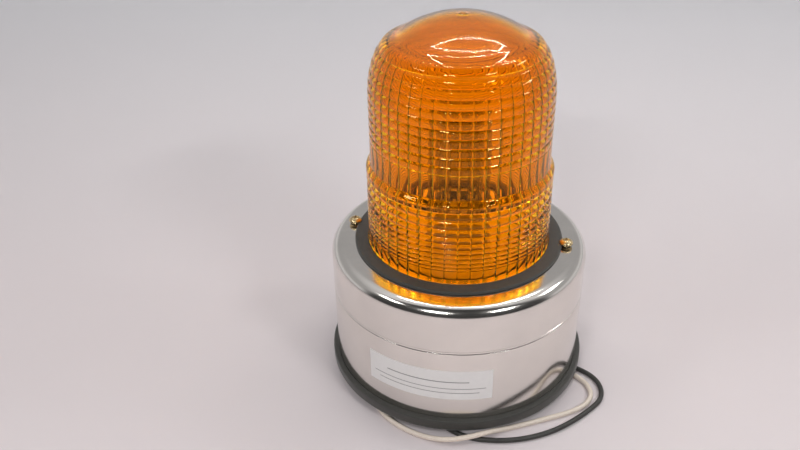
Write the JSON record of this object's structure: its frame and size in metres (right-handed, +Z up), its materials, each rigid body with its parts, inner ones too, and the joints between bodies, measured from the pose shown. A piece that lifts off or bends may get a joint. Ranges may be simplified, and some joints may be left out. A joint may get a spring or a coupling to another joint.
{
  "type": "warning strobe light",
  "caption": "Round polished metal strobe beacon with a ribbed amber lens, rubber base ring and gasket, plug-in flash tube, power board, pipe hub and wire leads.",
  "frame": {"origin": "on the axis, at the lower face of the pipe hub, which is the floor that the light stands on", "axes": "+Z up along the axis of the housing and the lens; -Y towards the front, where the label is; +X towards the side where the supply leads leave"},
  "size_m": [0.1814, 0.1761, 0.2378],
  "materials": {
    "polished_metal": "polished",
    "reflector_metal": "polished",
    "plated_steel": "zinc plated",
    "chassis_metal": "satin",
    "black_rubber": "matt",
    "amber_lens": "moulded gloss",
    "brass_screw": "plated",
    "label_film": "plain white",
    "white_wire": "satin",
    "black_wire": "satin",
    "copper": "bare wire",
    "board": "varnished",
    "moulded_black": "moulded",
    "core_steel": "varnished laminations",
    "capacitor_sleeve": "shrink sleeve",
    "film_case": "moulded",
    "coil_case": "potted",
    "ceramic": "unglazed ceramic",
    "diode_case": "moulded",
    "glass_fuse": "clear",
    "spring_metal": "tinned",
    "terminal_plastic": "moulded",
    "lamp_wire": "insulated",
    "tube_glass": "clear",
    "tube_metal": "nickel"
  },
  "bodies": {
    "base": {"lower_housing": "polished_metal", "base_plate": "plated_steel", "base_rivets": "plated_steel", "pipe_hub": "plated_steel", "hub_rivets": "plated_steel", "base_ring": "black_rubber", "label": "label_film", "lead_bushing": "black_wire", "white_lead": "white_wire", "white_lead_core": "copper", "black_lead": "black_wire", "black_lead_core": "copper", "white_inner_lead": "white_wire", "black_inner_lead": "black_wire", "board_standoffs": "chassis_metal", "circuit_board": "board", "chassis_posts": "chassis_metal", "chassis_plate": "chassis_metal", "chassis_screws": "plated_steel", "tube_socket": "ceramic", "reflector": "reflector_metal", "transformer_core": "core_steel", "transformer_winding": "copper", "storage_capacitor_1": "capacitor_sleeve", "storage_capacitor_2": "capacitor_sleeve", "trigger_capacitor": "film_case", "trigger_coil": "coil_case", "power_resistor_1": "ceramic", "power_resistor_2": "ceramic", "trigger_thyristor": "moulded_black", "rectifier_diodes": "diode_case", "fuse": "glass_fuse", "fuse_clips": "spring_metal", "terminal_block": "terminal_plastic", "terminal_screws": "plated_steel", "lamp_wires": "lamp_wire"},
    "cover": {"upper_cover": "polished_metal", "lens_nuts": "plated_steel"},
    "lens_set": {"lens": "amber_lens", "lens_gasket": "black_rubber"},
    "screw_1": {"lens_screw_1": "brass_screw"},
    "screw_2": {"lens_screw_2": "brass_screw"},
    "plug_in_tube": {"tube_base": "ceramic", "tube_pins": "tube_metal", "tube_envelope": "tube_glass", "flash_tube": "tube_glass", "tube_electrodes": "tube_metal", "tube_leads": "tube_metal", "trigger_wire": "tube_metal"}
  },
  "joints": [
    {"name": "cover_lift", "type": "slide", "parent": "base", "child": "cover", "axis": [0, 0, 1], "range_m": [0, 0.13]},
    {"name": "lens_lift", "type": "slide", "parent": "cover", "child": "lens_set", "axis": [0, 0, 1], "range_m": [0, 0.095]},
    {"name": "screw_1_turn", "type": "hinge", "parent": "lens_set", "child": "screw_1", "pos_m": [0.06736, -0.01067, 0.097], "axis": [0, 0, 1], "continuous": true},
    {"name": "screw_2_turn", "type": "hinge", "parent": "lens_set", "child": "screw_2", "pos_m": [-0.06736, 0.01067, 0.097], "axis": [0, 0, 1], "continuous": true},
    {"name": "tube_unplug", "type": "slide", "parent": "base", "child": "plug_in_tube", "axis": [0, 0, 1], "range_m": [0, 0.03]}
  ]
}
